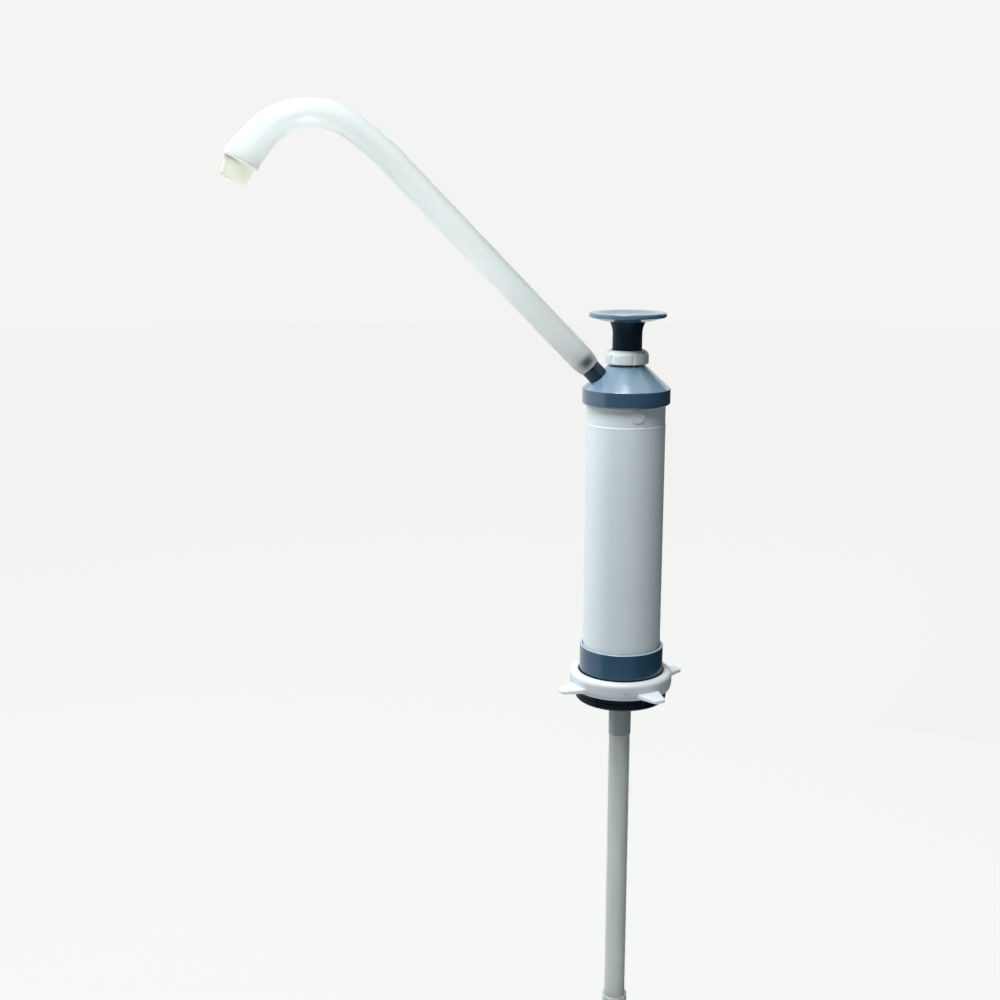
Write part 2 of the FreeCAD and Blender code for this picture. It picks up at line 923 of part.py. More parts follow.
def make_return_spring():
    """Long wire coil between its lower seat and the piston's retainer."""
    body = new_body("return_spring")
    wire = size("spring_wire_radius")
    first = spring_low + wire + slip
    height = retainer_low - spring_low - wire * 2 - slip * 2
    sketch = new_sketch(body, "XZ_Plane")
    draw_circle(sketch, size("spring_radius"), first, wire)
    coil = body.newObject("PartDesign::AdditiveHelix", "coil")
    coil.Profile = sketch
    coil.ReferenceAxis = (sketch, ["V_Axis"])
    coil.Mode = "height-turns-angle"
    coil.setExpression("Height", height.formula)
    coil.setExpression("Turns", size("spring_turns").formula)
    settle(body, coil, grows=True)
    return body


def make_spring_seat():
    """Washer that centres the foot of the spring."""
    body = new_body("spring_seat")
    inner = size("spring_seat_inner_radius")
    outer = size("spring_seat_outer_radius")
    revolve(body, ring_outline(inner, outer, foot_top, spring_low))
    return body


# ---------------------------------------------------------------- foot valve


def make_foot_valve_seat():
    """Plate in the foot of the barrel, with a raised lip round its water port."""
    body = new_body("foot_valve_seat")
    port = size("foot_port_radius")
    lip = port + size("foot_lip_width")
    outer = barrel_bore - slip * 2
    revolve(body, [
        (port, floor_top),
        (outer, floor_top),
        (outer, foot_top),
        (lip, foot_top),
        (lip, foot_disc_low),
        (port, foot_disc_low),
    ])
    return body


def make_foot_valve_disc():
    """Rubber poppet with a guide pin that hangs in the port."""
    body = new_body("foot_valve_disc")
    disc = size("foot_disc_radius")
    pin = size("foot_guide_radius")
    high = foot_disc_low + size("foot_disc_thickness")
    revolve(body, [
        (0, foot_disc_low - size("foot_guide_length")),
        (pin, foot_disc_low - size("foot_guide_length")),
        (pin, foot_disc_low),
        (disc, foot_disc_low),
        (disc, high),
        (0, high),
    ])
    return body


def make_foot_valve_cage():
    """Windowed cap over the poppet that limits its lift."""
    body = new_body("foot_valve_cage")
    outer = size("cage_radius")
    bore = size("cage_bore")
    hole = size("cage_hole_radius")
    roof = foot_disc_low + size("foot_disc_thickness") + size("foot_lift") + slip * 4
    window_low = spring_low + size("spring_wire_radius") / 2
    revolve(body, [
        (bore, foot_top),
        (outer, foot_top),
        (outer, roof + size("cage_top")),
        (hole, roof + size("cage_top")),
        (hole, roof),
        (bore, roof),
    ])
    width = size("cage_window_width")
    window = cut_box(body, bore - 1, outer + 1, width, window_low, roof)
    repeat(body, window, count("cage_windows"))
    return body


# ---------------------------------------------------------------- outlet nozzle and spout

nozzle_end = size("nozzle_start") + size("nozzle_length")
spout_foot = nozzle_end + slip * 4 - size("spout_socket_depth")
spout_shoulder = spout_foot + size("spout_socket_depth")


def make_outlet_nozzle():
    """Dark tube pressed in the cap's boss, with a groove for its O-ring."""
    body = new_body("outlet_nozzle", nozzle_frame)
    outer = size("nozzle_radius")
    bore = size("nozzle_bore")
    start = size("nozzle_start")
    groove_middle = nozzle_end - size("o_ring_back")
    groove_low = groove_middle - size("o_ring_radius") - slip
    groove_high = groove_middle + size("o_ring_radius") + slip
    floor = outer - size("o_ring_radius") * 2
    revolve(body, [
        (bore, start),
        (outer, start),
        (outer, groove_low),
        (floor, groove_low),
        (floor, groove_high),
        (outer, groove_high),
        (outer, nozzle_end),
        (bore, nozzle_end),
    ])
    return body


def make_nozzle_o_ring():
    """Rubber ring that seals the swivelling spout on the nozzle."""
    body = new_body("nozzle_o_ring", nozzle_frame)
    section = size("o_ring_radius")
    middle = size("nozzle_radius") + slip / 2 - section
    sketch = new_sketch(body, "XZ_Plane")
    draw_circle(sketch, middle, nozzle_end - size("o_ring_back"), section)
    feature = body.newObject("PartDesign::Revolution", "o_ring_turned")
    feature.Profile = sketch
    feature.ReferenceAxis = (sketch, ["V_Axis"])
    feature.Angle = 360
    settle(body, feature, grows=True)
    return body


def spout_moves():
    """The spout's line from its foot: each run has a length, and each bend a radius and an angle."""
    return (
        (None, size("spout_run")),
        (size("first_bend_radius"), size("first_bend_angle")),
        (size("second_bend_radius"), size("second_bend_angle")),
        (size("second_bend_radius"), size("second_bend_angle")),
        (None, size("spout_tail")),
        (size("curl_radius"), size("curl_angle")),
    )


def spout_stations():
    """The point and heading at each end of the spout's moves, in the nozzle's frame."""
    point = Vector(0, float(spout_foot), 0)
    heading = 90.0
    stations = [(point, heading)]
    for radius, amount in spout_moves():
        if radius is None:
            point = point + direction(heading) * float(amount)
        else:
            centre = point + direction(heading + 90) * float(radius)
            heading = heading + float(amount)
            point = centre - direction(heading + 90) * float(radius)
        stations.append((point, heading))
    return stations


def direction(degrees):
    """A unit vector in a sketch's plane."""
    turn = math.radians(degrees)
    return Vector(math.cos(turn), math.sin(turn), 0)


def station_placement(station):
    """A sketch offset square to the spout at one of its stations."""
    point, heading = station
    return Placement(Vector(point.x, 0, point.y), Rotation(Vector(0, 1, 0), 90 - heading))


def draw_spout_path(body):
    """The spout's centre line: a straight run, three arcs, a short tail and a last curl."""
    stations = spout_stations()
    sketch = new_sketch(body, "XZ_Plane")
    for index, (radius, amount) in enumerate(spout_moves()):
        point, heading = stations[index]
        if radius is None:
            sketch.addGeometry(Part.LineSegment(point, stations[index + 1][0]), False)
        else:
            circle = Part.Circle(point + direction(heading + 90) * float(radius), UP, float(radius))
            start = math.radians(heading - 90)
            arc = Part.ArcOfCircle(circle, start, start + math.radians(float(amount)))
            sketch.addGeometry(arc, False)
    sketch.addConstraint(Sketcher.Constraint("PointOnObject", 0, 1, -2))
    sketch.addConstraint(Sketcher.Constraint("Vertical", 0))
    tie(sketch, Sketcher.Constraint("DistanceY", -1, 1, 0, 1, float(spout_foot)), spout_foot)
    for index in range(len(spout_moves()) - 1):
        sketch.addConstraint(Sketcher.Constraint("Tangent", index, 2, index + 1, 1))
    for index, (radius, amount) in enumerate(spout_moves()):
        if radius is None:
            tie(sketch, Sketcher.Constraint("Distance", index, float(amount)), amount)
        else:
            tie(sketch, Sketcher.Constraint("Radius", index, float(radius)), radius)
            tie(sketch, Sketcher.Constraint("Angle", index, math.radians(float(amount))), amount)
    return sketch


def sweep(body, kind, path, edges, sections):
    """Sweeps round sections along some edges of the path, to add or to cut a tube."""
    sketches = []
    for station, radius in sections:
        sketch = new_sketch(body, "XY_Plane", station_placement(station))
        draw_circle(sketch, 0, 0, radius)
        sketches.append(sketch)
    pipe = body.newObject("PartDesign::" + kind, body.Label + "_" + kind.lower())
    pipe.Profile = sketches[0]
    pipe.Spine = (path, edges)
    if len(sketches) > 1:
        pipe.Transformation = "Multisection"
        pipe.Sections = [(sketch, [""]) for sketch in sketches[1:]]
    return settle(body, pipe, grows=kind == "AdditivePipe")


def make_spout():
    """Gooseneck tube: a long straight run, a tightening bend and a flared outlet."""
    body = new_body("spout", nozzle_frame)
    stations = spout_stations()
    path = draw_spout_path(body)
    slim = ["Edge1", "Edge2", "Edge3"]
    flared = ["Edge4", "Edge5", "Edge6"]
    foot, middle, outlet = stations[0], stations[3], stations[-1]
    outer = size("spout_radius")
    bore = size("spout_bore")
    sweep(body, "AdditivePipe", path, slim, [(foot, outer)])
    sweep(body, "AdditivePipe", path, flared, [(middle, outer), (outlet, size("outlet_radius"))])
    sweep(body, "SubtractivePipe", path, slim, [(foot, bore)])
    sweep(body, "SubtractivePipe", path, flared, [(middle, bore), (outlet, size("outlet_bore"))])
    socket = size("nozzle_radius") + slip
    cut_round(body, 0, 0, socket, spout_foot - 1, spout_shoulder)
    groove(body, [
        (outer - size("spout_foot_taper"), spout_foot),
        (outer + 1, spout_foot),
        (outer + 1, spout_foot + size("spout_foot_length")),
        (outer, spout_foot + size("spout_foot_length")),
    ])
    return body


def make_tip_cap():
    """Ivory drip cap with a hollow plug in the outlet's bore."""
    outlet = station_placement(spout_stations()[-1])
    body = new_body("tip_cap", nozzle_frame * outlet)
    skirt = size("tip_cap_radius")
    plug = size("outlet_bore") - loose
    seat = slip * 3
    low = seat - size("tip_plug_length")
    # the bore narrows away from the outlet, and the plug narrows with it
    narrow = plug - size("tip_plug_taper")
    wall = size("tip_plug_wall")
    length = size("tip_cap_length")
    end = size("tip_cap_end_radius")
    revolve(body, [
        (narrow - wall, low),
        (narrow, low),
        (plug, seat),
        (size("outlet_radius"), seat),
        (size("outlet_radius"), size("tip_cap_lip")),
        (skirt, size("tip_cap_lip")),
        (end, length),
        (0, length),
        (0, length - wall * 2),
        (narrow - wall, length - wall * 2),
    ])
    round_edges(body, size("tip_cap_rounding"), rim(end, length))
    return body


# ---------------------------------------------------------------- inlet and dip tube


def make_inlet_nipple():
    """Flanged socket that clamps the collet to the collar and takes the dip tube."""
    body = new_body("inlet_nipple")
    outer = size("nipple_radius")
    bore = size("nipple_bore")
    socket = size("dip_tube_radius") + slip
    flange_high = flange_low - slip
    revolve(body, [
        (socket, nipple_low),
        (outer, nipple_low),
        (outer, floor_top - slip),
        (bore, floor_top - slip),
        (bore, tube_top + slip),
        (socket, tube_top + slip),
    ])
    sketch = new_sketch(body, "XY_Plane", raised(flange_high - size("nipple_flange_height")))
    draw_outline(sketch, hexagon(size("nipple_flange_width")))
    draw_circle(sketch, 0, 0, outer - slip * 2)
    extrude(body, "Pad", sketch, size("nipple_flange_height"))
    return body


def make_tube(label, low, high):
    """One length of dip tube."""
    body = new_body(label)
    revolve(body, ring_outline(size("dip_tube_bore"), size("dip_tube_radius"), low, high))
    return body


def make_tube_coupler():
    """Sleeve that joins the two dip tubes, with a stop between them."""
    body = new_body("tube_coupler")
    middle = (upper_tube_low + lower_tube_top) / 2
    half = size("coupler_length") / 2
    bore = size("dip_tube_radius") + slip
    outer = size("coupler_radius")
    stop = size("dip_tube_bore")
    revolve(body, [
        (bore, middle - half),
        (outer, middle - half),
        (outer, middle + half),
        (bore, middle + half),
        (bore, upper_tube_low - slip),
        (stop, upper_tube_low - slip),
        (stop, lower_tube_top + slip),
        (bore, lower_tube_top + slip),
    ])
    return body


def make_strainer_foot():
    """Slotted end cap on the foot of the dip tube."""
    body = new_body("strainer_foot")
    outer = size("strainer_radius")
    bore = size("dip_tube_radius") + slip
    well = size("dip_tube_bore")
    shoulder = lower_tube_low - slip
    top = lower_tube_low + size("strainer_grip")
    low = top - size("strainer_length")
    floor = low + size("strainer_floor")
    revolve(body, [
        (0, low),
        (outer, low),
        (outer, top),
        (bore, top),
        (bore, shoulder),
        (well, shoulder),
        (well, floor),
        (0, floor),
    ])
    slot_low = floor + size("strainer_floor")
    slot_high = slot_low + size("strainer_slot_height")
    width = size("strainer_slot_width")
    slot = cut_box(body, well - 1, outer + 1, width, slot_low, slot_high)
    repeat(body, slot, count("strainer_slots"))
    return body


# ---------------------------------------------------------------- assembly and export

pieces = [
    make_knob(),
    make_stem(),
    make_gland_nut(),
    make_gland_seal(),
    make_top_cap(),
    make_cap_gasket(),
    make_outlet_nozzle(),
    make_nozzle_o_ring(),
    make_spout(),
    make_tip_cap(),
    make_barrel(),
    make_stem_stop_ring(),
    make_piston(),
    make_piston_cup_seal(),
    make_piston_valve(),
    make_valve_stop_ring(),
    make_piston_retainer(),
    make_piston_screw(),
    make_return_spring(),
    make_spring_seat(),
    make_foot_valve_seat(),
    make_foot_valve_disc(),
    make_foot_valve_cage(),
    make_barrel_gasket(),
    make_base_collar(),
    make_neck_collet(),
    make_locking_ring(),
    make_neck_gasket(),
    make_inlet_nipple(),
    make_tube("dip_tube_upper", upper_tube_low, tube_top),
    make_tube_coupler(),
    make_tube("dip_tube_lower", lower_tube_low, lower_tube_top),
    make_strainer_foot(),
]

doc.recompute()
for item in doc.Objects:
    if "Invalid" in item.State or "Error" in item.State:
        raise ValueError(f"{item.Label} failed: {item.State}")
for piece in pieces:
    shape = piece.Shape
    if shape.isNull() or not shape.isValid():
        raise ValueError(f"{piece.Label} has no valid shape")
    if len(shape.Solids) != 1:
        raise ValueError(f"{piece.Label} has {len(shape.Solids)} solids")

os.makedirs("parts", exist_ok=True)
for piece in pieces:
    piece.Shape.exportStep(f"parts/{piece.Label}.step")
    box = piece.Shape.BoundBox
    print(f"{piece.Label:18s} {piece.Shape.Volume:10.1f} mm3  z {box.ZMin:8.2f} to {box.ZMax:8.2f}")
point, heading = spout_stations()[-1]
outlet = nozzle_frame.multVec(Vector(point.x, 0, point.y))
print(f"outlet at x {outlet.x:.2f}, z {outlet.z:.2f}, heading {heading + tilt:.2f} degrees")
print(f"nozzle's axis crosses the pump's axis at z {float(nozzle_root):.2f}")
print(f"stroke {float(size('stroke')):.1f} mm")
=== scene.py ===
# %% [markdown]
# # A hand pump for large water jugs
# The pump is pushed down onto a jug's neck. A press knob drives a piston in a
# pale barrel, and water leaves through a swan-necked spout. The shapes come
# ready made as a fixed frame, so this lesson is about light, finishes and the
# few fine details that only show close up.

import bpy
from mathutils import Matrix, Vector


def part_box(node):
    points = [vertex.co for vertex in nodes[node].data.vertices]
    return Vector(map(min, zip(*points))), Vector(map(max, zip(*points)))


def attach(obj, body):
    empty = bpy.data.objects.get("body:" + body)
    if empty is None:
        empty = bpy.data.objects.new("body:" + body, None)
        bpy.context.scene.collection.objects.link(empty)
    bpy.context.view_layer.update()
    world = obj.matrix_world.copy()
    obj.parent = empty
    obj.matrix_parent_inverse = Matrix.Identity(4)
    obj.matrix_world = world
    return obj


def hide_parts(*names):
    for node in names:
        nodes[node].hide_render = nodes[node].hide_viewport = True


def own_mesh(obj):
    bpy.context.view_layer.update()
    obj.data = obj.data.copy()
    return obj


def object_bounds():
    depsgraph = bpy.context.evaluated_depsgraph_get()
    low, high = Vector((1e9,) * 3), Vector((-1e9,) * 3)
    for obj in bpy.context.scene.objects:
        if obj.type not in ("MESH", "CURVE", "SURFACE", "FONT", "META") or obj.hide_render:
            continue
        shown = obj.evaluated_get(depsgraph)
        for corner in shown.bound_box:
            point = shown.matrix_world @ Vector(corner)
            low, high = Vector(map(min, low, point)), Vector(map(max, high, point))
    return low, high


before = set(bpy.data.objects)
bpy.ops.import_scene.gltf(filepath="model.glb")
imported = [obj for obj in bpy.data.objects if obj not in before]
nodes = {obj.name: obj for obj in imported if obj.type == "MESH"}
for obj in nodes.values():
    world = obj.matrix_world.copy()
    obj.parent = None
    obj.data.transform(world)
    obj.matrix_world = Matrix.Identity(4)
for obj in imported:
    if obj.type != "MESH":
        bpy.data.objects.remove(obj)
cad_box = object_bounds()
print("frame nodes:", len(nodes), "from", tuple(cad_box[0]), "to", tuple(cad_box[1]))

# %% [markdown]
# ## Helpers
# Three things are needed again and again: a length in millimetres, a colour
# written the way a paint chart writes it, and a way to add one shader node and
# feed its inputs. A screen colour is curved for the eye, and a shader wants the
# straight amount of light, so one function straightens every hex value. Most
# inputs go by name. A sum or a mix has several of one name, which go by number,
# and those of a mix of colours are given names here.

# %% Helpers
import math
import bmesh
import bpy
from mathutils import Matrix, Vector

MM = 0.001
UP = Vector((0, 0, 1))
SHARE, FIRST, SECOND = 0, 6, 7
MIXED = 2


def linear(hex_colour):
    """Linear red, green, blue and alpha of an sRGB colour such as 'AABBCC'."""
    shares = [int(hex_colour[i:i + 2], 16) / 255 for i in (0, 2, 4)]
    curve = [s / 12.92 if s <= 0.04045 else ((s + 0.055) / 1.055) ** 2.4 for s in shares]
    return (*curve, 1.0)


def feed(node, inputs):
    """Feeds a node's inputs. Each gets a number, a colour, or another node's output."""
    for name, value in inputs.items():
        if isinstance(value, bpy.types.NodeSocket):
            node.id_data.links.new(value, node.inputs[name])
        else:
            node.inputs[name].default_value = value


def add_node(tree, kind, settings=None, inputs=None):
    """Adds one node with its settings and its inputs."""
    node = tree.nodes.new(kind)
    for name, value in (settings or {}).items():
        setattr(node, name, value)
    feed(node, inputs or {})
    return node


print("white as light:", linear("FFFFFF"))

# %% [markdown]
# ## Camera
# The camera stands in front of the pump and a little to the spout's side, at
# the height of the spout, and dips to look at the middle. Its lens is a normal
# one, which neither widens nor flattens the pump. A camera could be turned by
# three typed angles, but one that tracks a line of sight can't come out tilted.

# %% Camera
HEADING = math.radians(14.0)
DIP = math.radians(12.21)
PLACE = Vector((-289.5, -820.1, 307.0)) * MM
LENS_MM = 47.98

gaze = Vector((
    math.sin(HEADING) * math.cos(DIP), math.cos(HEADING) * math.cos(DIP), -math.sin(DIP)))
camera = bpy.data.objects.new("camera", bpy.data.cameras.new("camera"))
bpy.context.scene.collection.objects.link(camera)
camera.data.lens = LENS_MM
camera.location = PLACE
camera.rotation_mode = "QUATERNION"
camera.rotation_quaternion = gaze.to_track_quat("-Z", "Y")
bpy.context.scene.camera = camera
bpy.context.scene.view_settings.view_transform = "Standard"
print("camera looks along", tuple(round(v, 3) for v in gaze))

# %% [markdown]
# ## Room
# The room is a pale floor under a pale sky, and both have two jobs. Where the
# camera, a reflection or a clear plastic looks at them, they are plain paper
# white. Where they light a surface they are dimmer, so that the lamps can give
# the object its form. A plain sky can only do one of these, so a switch on the
# kind of ray picks between two.

# %% Sky
PAPER = linear("F4F5F3")
DAYLIGHT = linear("E9F3FA")
SKY_SEEN = 1.0
SKY_LIGHT = 0.1


def looked_at(tree):
    """One where the camera, a reflection or a clear plastic looks, and nothing elsewhere."""
    rays = add_node(tree, "ShaderNodeLightPath")
    seen = rays.outputs["Is Camera Ray"]
    for kind in ("Is Glossy Ray", "Is Transmission Ray"):
        either = add_node(tree, "ShaderNodeMath", {"operation": "MAXIMUM"}, {
            0: seen, 1: rays.outputs[kind]})
        seen = either.outputs[0]
    return seen


world = bpy.data.worlds.new("studio")
bpy.context.scene.world = world
world.use_nodes = True
sky = world.node_tree
sky.nodes.clear()
paper = add_node(sky, "ShaderNodeBackground", inputs={"Color": PAPER, "Strength": SKY_SEEN})
light = add_node(sky, "ShaderNodeBackground", inputs={"Color": DAYLIGHT, "Strength": SKY_LIGHT})
surface = add_node(sky, "ShaderNodeMixShader", inputs={
    0: looked_at(sky), 1: light.outputs[0], 2: paper.outputs[0]})
add_node(sky, "ShaderNodeOutputWorld", inputs={"Surface": surface.outputs[0]})
print("sky lights surfaces at", SKY_LIGHT)

# %% [markdown]
# The floor is a wide disc of pale card just under the pump. Where it is looked
# at it glows, so that it meets the sky without a hard edge, with a trace of
# matt grey on which a faint shadow can fall. To the lamps it is plain matt card.

# %% Floor
FLOOR_GAP = 0.5 * MM
FLOOR_LEVEL = cad_box[0].z - FLOOR_GAP
FLOOR_RADIUS = 9.0
FLOOR_SIDES = 96
FLOOR_GLOW = 0.975

outline = bmesh.new()
bmesh.ops.create_circle(outline, cap_ends=True, segments=FLOOR_SIDES, radius=FLOOR_RADIUS)
bmesh.ops.translate(outline, vec=(0, 0, FLOOR_LEVEL), verts=outline.verts)
floor = bpy.data.objects.new("floor", bpy.data.meshes.new("floor"))
outline.to_mesh(floor.data)
outline.free()
bpy.context.scene.collection.objects.link(floor)

card = bpy.data.materials.new("pale_card")
card.use_nodes = True
tree = card.node_tree
tree.nodes.clear()
matt = add_node(tree, "ShaderNodeBsdfDiffuse", inputs={"Color": linear("E6E8E6")})
glow = add_node(tree, "ShaderNodeEmission", inputs={"Color": PAPER, "Strength": FLOOR_GLOW})
faint = add_node(tree, "ShaderNodeBsdfDiffuse", inputs={"Color": linear("434443")})
paper = add_node(tree, "ShaderNodeAddShader", inputs={0: glow.outputs[0], 1: faint.outputs[0]})
surface = add_node(tree, "ShaderNodeMixShader", inputs={
    0: looked_at(tree), 1: matt.outputs[0], 2: paper.outputs[0]})
add_node(tree, "ShaderNodeOutputMaterial", inputs={"Surface": surface.outputs[0]})
floor.data.materials.append(card)
print("floor at", round(FLOOR_LEVEL / MM, 1), "mm")

# %% [markdown]
# ## Lamps
# One broad lamp hangs high, a little to the left and to the front. It lights
# the shoulder and the locking ring from above, and throws the soft shadow that
# the cap's band leaves on the barrel. A small lamp straight overhead draws the
# bright streaks in the gloss. A wide one far to the left and behind gives the
# barrel its pale side, and is kept out of reflections so that it adds no second
# streak. Three faint, narrow lamps fill the underside of the spout, where light
# from a real room would come back up from below. They aren't reflected either.
# All but one are placed from a spot on the pump: so many metres to the camera's
# left, toward the camera, and up.

# %% Lamps
MIDDLE = Vector((-40.0, 0.0, 150.0)) * MM
SWAN = Vector((-215.0, 0.0, 350.0)) * MM
SWAN_TIP = Vector((-225.0, 0.0, 335.0)) * MM
RUN = Vector((-78.0, 0.0, 272.0)) * MM
UNDER_SWAN = Vector((-20.0, -500.0, -200.0)) * MM
LEFT = Vector((-math.cos(HEADING), math.sin(HEADING), 0))
NEAR = Vector((-math.sin(HEADING), -math.cos(HEADING), 0))
SOFT_WHITE = linear("F7FCFF")


def hang_lamp(name, place, size, power, aim=MIDDLE, spread=180, gloss=True):
    """A flat lamp of so many watts that faces the middle of the pump, or what aim names."""
    lamp = bpy.data.lights.new(name, "AREA")
    lamp.shape = "RECTANGLE"
    lamp.size, lamp.size_y = size
    lamp.energy = power
    lamp.color = SOFT_WHITE[:3]
    lamp.spread = math.radians(spread)
    holder = bpy.data.objects.new(name, lamp)
    bpy.context.scene.collection.objects.link(holder)
    holder.location = place
    holder.rotation_mode = "QUATERNION"
    holder.rotation_quaternion = (aim - place).to_track_quat("-Z", "Y")
    holder.visible_camera = False
    holder.visible_glossy = gloss
    print(name, "at", tuple(round(v, 2) for v in place), power, "W")


hang_lamp("overhead", place=MIDDLE + LEFT * 0.22 + NEAR * 0.48 + UP * 1.32,
          size=(0.55, 0.55), power=26)
hang_lamp("glint", place=MIDDLE + UP * 1.45, size=(0.22, 0.22), power=1.0)
hang_lamp("far left", place=MIDDLE + LEFT * 1.05 - NEAR * 0.6 + UP * 0.95,
          size=(0.6, 0.8), power=18, gloss=False)
hang_lamp("swan", place=SWAN + LEFT * 1.25 + NEAR * 0.6 - UP * 0.25,
          size=(0.25, 0.25), power=0.068, aim=SWAN_TIP, spread=13, gloss=False)
hang_lamp("under swan", place=UNDER_SWAN,
          size=(0.15, 0.15), power=0.11, aim=SWAN_TIP, spread=18, gloss=False)
hang_lamp("run", place=RUN + LEFT * 0.5 + NEAR * 0.8 - UP * 0.4,
          size=(0.12, 0.12), power=0.032, aim=RUN, spread=7, gloss=False)

# %% [markdown]
# ## Dark panels
# Glossy plastic shows what is round it, and without something dark to show,
# the navy pieces would turn grey. Three dark panels stand round the pump, and
# the camera sees none of them: a low one from the left, round behind the
# camera, to the far right, one that lies on the floor to the right, and one
# that hangs high at the right. The last two are for reflections only, so they
# take no light away from the barrel's shaded side. Each panel is a straight
# line that a spin sweeps round the pump.

# %% Dark panels
PANEL_REACH = 1.25
PANEL_LEVEL = FLOOR_LEVEL + 2 * MM
PANEL_STEPS = 48
CARD_TOP = 0.3
FLOOR_PANEL_REACH = 0.3
HIGH_PANEL_FOOT, HIGH_PANEL_TOP = 0.8, 1.9

velvet = bpy.data.materials.new("black_velvet")
velvet.use_nodes = True
feed(velvet.node_tree.nodes["Principled BSDF"], {"Base Color": linear("1C1F21"), "Roughness": 0.9})


def dark_panel(name, inner, outer, start, sweep, only_reflected):
    """A panel between two (distance, height) points, swept from start by sweep degrees."""
    panel_mesh = bmesh.new()
    start = math.radians(start)
    ends = [panel_mesh.verts.new((reach * math.cos(start), reach * math.sin(start), height))
            for reach, height in (inner, outer)]
    line = panel_mesh.edges.new(ends)
    bmesh.ops.spin(panel_mesh, geom=[*ends, line], cent=(0, 0, 0), axis=(0, 0, 1),
                   angle=math.radians(sweep), steps=PANEL_STEPS)
    panel = bpy.data.objects.new(name, bpy.data.meshes.new(name))
    panel_mesh.to_mesh(panel.data)
    panel_mesh.free()
    bpy.context.scene.collection.objects.link(panel)
    panel.data.materials.append(velvet)
    panel.visible_camera = False
    panel.visible_diffuse = not only_reflected
    panel.visible_shadow = not only_reflected
    print(name, len(panel.data.polygons), "faces")


dark_panel("dark_card", inner=(PANEL_REACH, PANEL_LEVEL), outer=(PANEL_REACH, CARD_TOP),
           start=-165.0, sweep=217.0, only_reflected=False)
dark_panel("dark_floor", inner=(FLOOR_PANEL_REACH, PANEL_LEVEL), outer=(PANEL_REACH, PANEL_LEVEL),
           start=-70.0, sweep=110.0, only_reflected=True)
dark_panel("dark_height", inner=(PANEL_REACH, HIGH_PANEL_FOOT), outer=(PANEL_REACH, HIGH_PANEL_TOP),
           start=-15.0, sweep=60.0, only_reflected=True)

# %% [markdown]
# ## Finishes
# Nearly every piece here is injection moulded or extruded plastic. Moulded
# plastic copies the steel it was shot against: a spark-eroded grain that breaks
# up the gloss, and a slow drift of tone where the melt flowed. Both patterns
# have a size in millimetres. The real grain is under a tenth of a millimetre,
# too fine for a picture, so it is drawn half a millimetre wide. A picture of
# plastic could be wrapped round each piece, but noise that reads the piece's
# own coordinates needs no wrapping. The blue pieces have light from above
# painted in: their faces get paler as they turn up. A pale waxy plastic lets
# light wander inside it.

# %% A moulded plastic
GRAIN = 0.5 * MM
GRAIN_DEPTH = 0.006 * MM
MELT_DRIFT = 26.0 * MM
NOISE_LOW, NOISE_HIGH = 0.3, 0.7
SMOOTHER, ROUGHER = 0.01, 0.02
PAINTED_LIGHT_FULL = 0.62
COAT_ROUGHNESS = 0.16
SOFT_WEIGHT = 0.55
SOFT_COLOUR = (0.97, 1.0, 1.0)


def finish(name):
    """An empty node material, its tree, its shader and the object's own coordinates."""
    made = bpy.data.materials.new(name)
    made.use_nodes = True
    tree = made.node_tree
    tree.nodes.clear()
    where = add_node(tree, "ShaderNodeTexCoord").outputs["Object"]
    shader = add_node(tree, "ShaderNodeBsdfPrincipled")
    add_node(tree, "ShaderNodeOutputMaterial", inputs={"Surface": shader.outputs[0]})
    return made, tree, shader, where


def moulded(name, colour, deep, roughness, ior, sheen=0.5, polish=0.0,
            painted_top_light=None, painted_light_from=0.1, soft_mm=0.0):
    """Injection moulded plastic: slow drift of tone, spark-eroded grain and uneven gloss.

    A painted top light is a paler colour that comes in as a face turns up, from where its
    normal's height is painted_light_from; it is painted light from above. With soft_mm above
    nothing, light wanders that far inside."""
    made, tree, shader, where = finish(name)
    drift = add_node(tree, "ShaderNodeTexNoise", inputs={
        "Vector": where, "Scale": 1 / MELT_DRIFT, "Detail": 3.0, "Roughness": 0.5})
    tone = add_node(tree, "ShaderNodeMix", {"data_type": "RGBA"}, {
        SHARE: drift.outputs["Fac"], FIRST: linear(deep), SECOND: linear(colour)})
    # Painted light: faces that turn up get a paler colour, standing in for light from above.
    if painted_top_light:
        facing = add_node(tree, "ShaderNodeTexCoord").outputs["Normal"]
        upright = add_node(tree, "ShaderNodeSeparateXYZ", inputs={0: facing})
        painted_light_share = add_node(tree, "ShaderNodeMapRange", {"interpolation_type": "SMOOTHSTEP"}, {
            "Value": upright.outputs["Z"], "From Min": painted_light_from, "From Max": PAINTED_LIGHT_FULL})
        tone = add_node(tree, "ShaderNodeMix", {"data_type": "RGBA"}, {
            SHARE: painted_light_share.outputs[0], FIRST: tone.outputs[MIXED], SECOND: linear(painted_top_light)})
    grain = add_node(tree, "ShaderNodeTexNoise", inputs={
        "Vector": where, "Scale": 1 / GRAIN, "Detail": 2.0, "Roughness": 0.6})
    gloss = add_node(tree, "ShaderNodeMapRange", inputs={
        "Value": drift.outputs["Fac"], "From Min": NOISE_LOW, "From Max": NOISE_HIGH,
        "To Min": roughness - SMOOTHER, "To Max": roughness + ROUGHER})
    bump = add_node(tree, "ShaderNodeBump", inputs={
        "Height": grain.outputs["Fac"], "Distance": GRAIN_DEPTH, "Strength": 1.0})
    feed(shader, {
        "Base Color": tone.outputs[MIXED],
        "Roughness": gloss.outputs[0],
        "Normal": bump.outputs[0],
        "IOR": ior,
        "Specular IOR Level": sheen,
        "Coat Weight": polish,
        "Coat Roughness": COAT_ROUGHNESS,
        "Subsurface Weight": SOFT_WEIGHT if soft_mm else 0.0,
        "Subsurface Radius": SOFT_COLOUR,
        "Subsurface Scale": soft_mm * MM,
    })
    print("finish", name)
    return made


# %% [markdown]
# Each moulded finish has two close tones, a roughness and the refraction that
# is usual for its plastic. Sheen is turned down for the white and the very dark
# ones, and polish adds a clear gloss to the slate blue ones.

